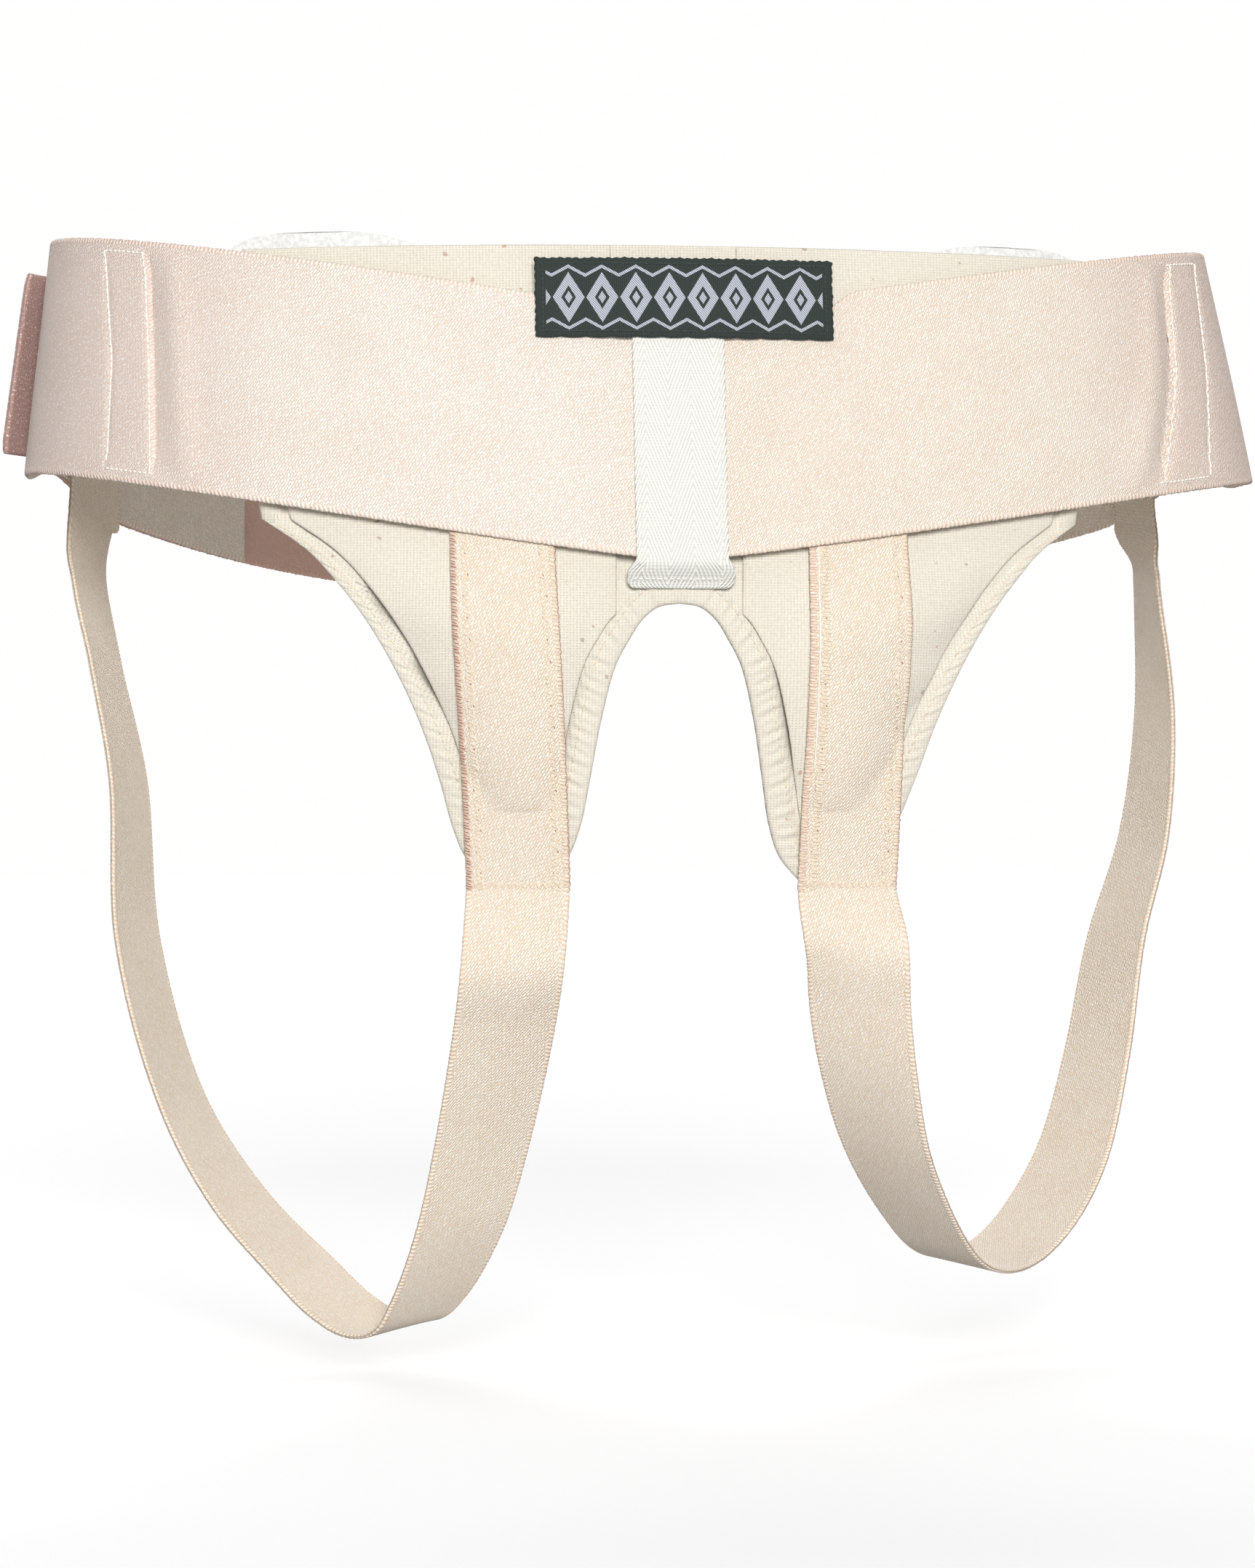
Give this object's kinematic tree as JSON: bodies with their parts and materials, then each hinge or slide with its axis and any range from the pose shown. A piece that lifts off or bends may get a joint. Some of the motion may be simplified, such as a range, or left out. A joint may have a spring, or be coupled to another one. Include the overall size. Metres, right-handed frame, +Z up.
{
  "type": "hernia belt",
  "caption": "Double hernia belt: wide elastic waist band with hook tab, knit front panel with two padded pockets, and elastic thigh loops.",
  "frame": {"origin": "middle of the waist loop, 29 mm above the waist band's lower edge at the hips", "axes": "+X from the viewer's left to right seen from the front, +Y from the wearer's front to the rear, +Z up as worn"},
  "size_m": [0.4054, 0.2291, 0.3488],
  "materials": {
    "band_elastic": "satin",
    "strap_elastic": "satin",
    "knit_cotton": "matte",
    "pad_cover": "matte",
    "cotton_tape": "matte",
    "woven_label": "matte",
    "hook_fabric": "matte"
  },
  "bodies": {
    "root": {"waist_band_left": "band_elastic", "waist_band_right": "band_elastic", "hook_tab": "hook_fabric", "front_panel": "knit_cotton", "pad_pocket_left": "knit_cotton", "pad_pocket_right": "knit_cotton", "pad_left": "pad_cover", "pad_right": "pad_cover", "leg_strap_left": "strap_elastic", "leg_strap_right": "strap_elastic", "centre_tape": "cotton_tape", "label_patch": "woven_label"}
  },
  "joints": []
}
